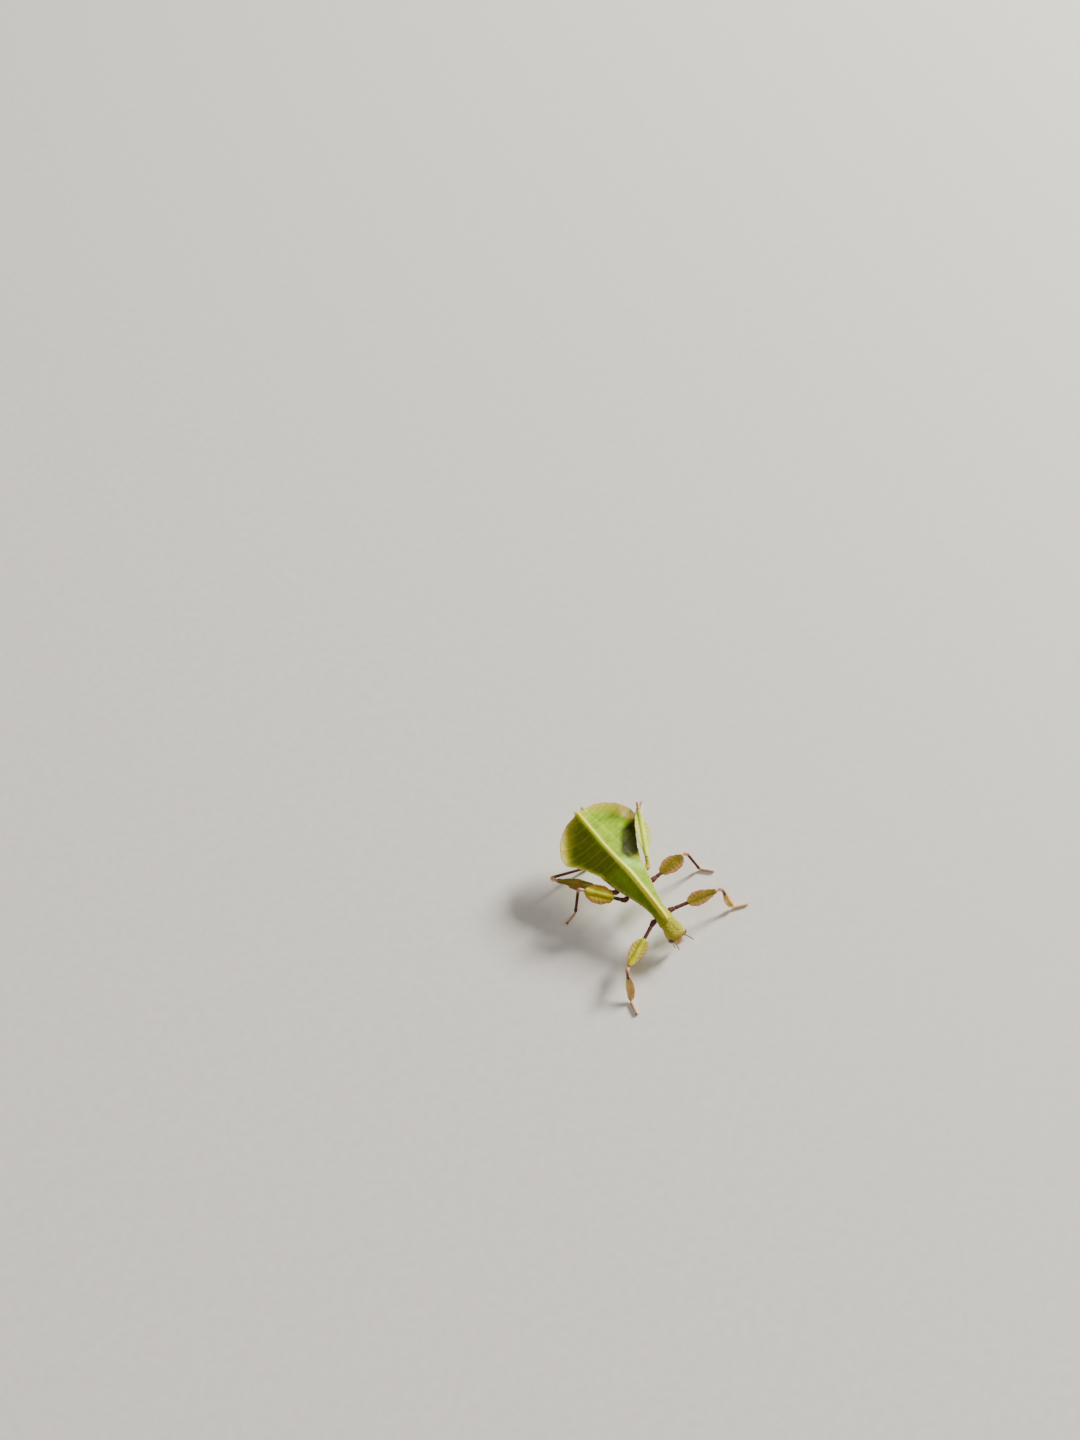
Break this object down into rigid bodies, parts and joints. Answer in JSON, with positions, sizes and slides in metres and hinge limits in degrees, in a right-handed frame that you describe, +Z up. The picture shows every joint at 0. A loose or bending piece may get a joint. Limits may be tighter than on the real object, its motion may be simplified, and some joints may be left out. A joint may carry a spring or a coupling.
{
  "type": "leaf insect model",
  "caption": "Still life-size model of a young leaf insect: a broad, ridged leaf-shaped abdomen, a slim thorax and leaf-lobed legs, standing on its feet.",
  "frame": {"origin": "middle of the insect's box from above, on the floor under its feet", "axes": "the head points to -Y and the tail to +Y, the insect's left side is +X, +Z is up"},
  "size_m": [0.0174, 0.0202, 0.0055],
  "materials": {
    "leaf_green": "satin",
    "olive_green": "satin",
    "red_brown": "satin",
    "pale_tan": "satin",
    "eye_brown": "gloss"
  },
  "bodies": {
    "root": {"head": "leaf_green", "prothorax": "leaf_green", "mesothorax": "leaf_green", "metathorax": "leaf_green", "abdomen": "leaf_green", "eye_left": "eye_brown", "eye_right": "eye_brown", "antenna_left": "pale_tan", "antenna_right": "pale_tan", "mouthparts": "pale_tan", "cercus_left": "pale_tan", "cercus_right": "pale_tan", "front_left_coxa": "red_brown", "front_left_femur": "olive_green", "front_left_tibia": "red_brown", "front_left_tarsus": "olive_green", "front_right_coxa": "red_brown", "front_right_femur": "olive_green", "front_right_tibia": "red_brown", "front_right_tarsus": "olive_green", "mid_left_coxa": "red_brown", "mid_left_femur": "olive_green", "mid_left_tibia": "red_brown", "mid_left_tarsus": "olive_green", "mid_right_coxa": "red_brown", "mid_right_femur": "olive_green", "mid_right_tibia": "red_brown", "mid_right_tarsus": "olive_green", "hind_left_coxa": "red_brown", "hind_left_femur": "olive_green", "hind_left_tibia": "red_brown", "hind_left_tarsus": "olive_green", "hind_right_coxa": "red_brown", "hind_right_femur": "olive_green", "hind_right_tibia": "red_brown", "hind_right_tarsus": "olive_green"}
  },
  "joints": []
}
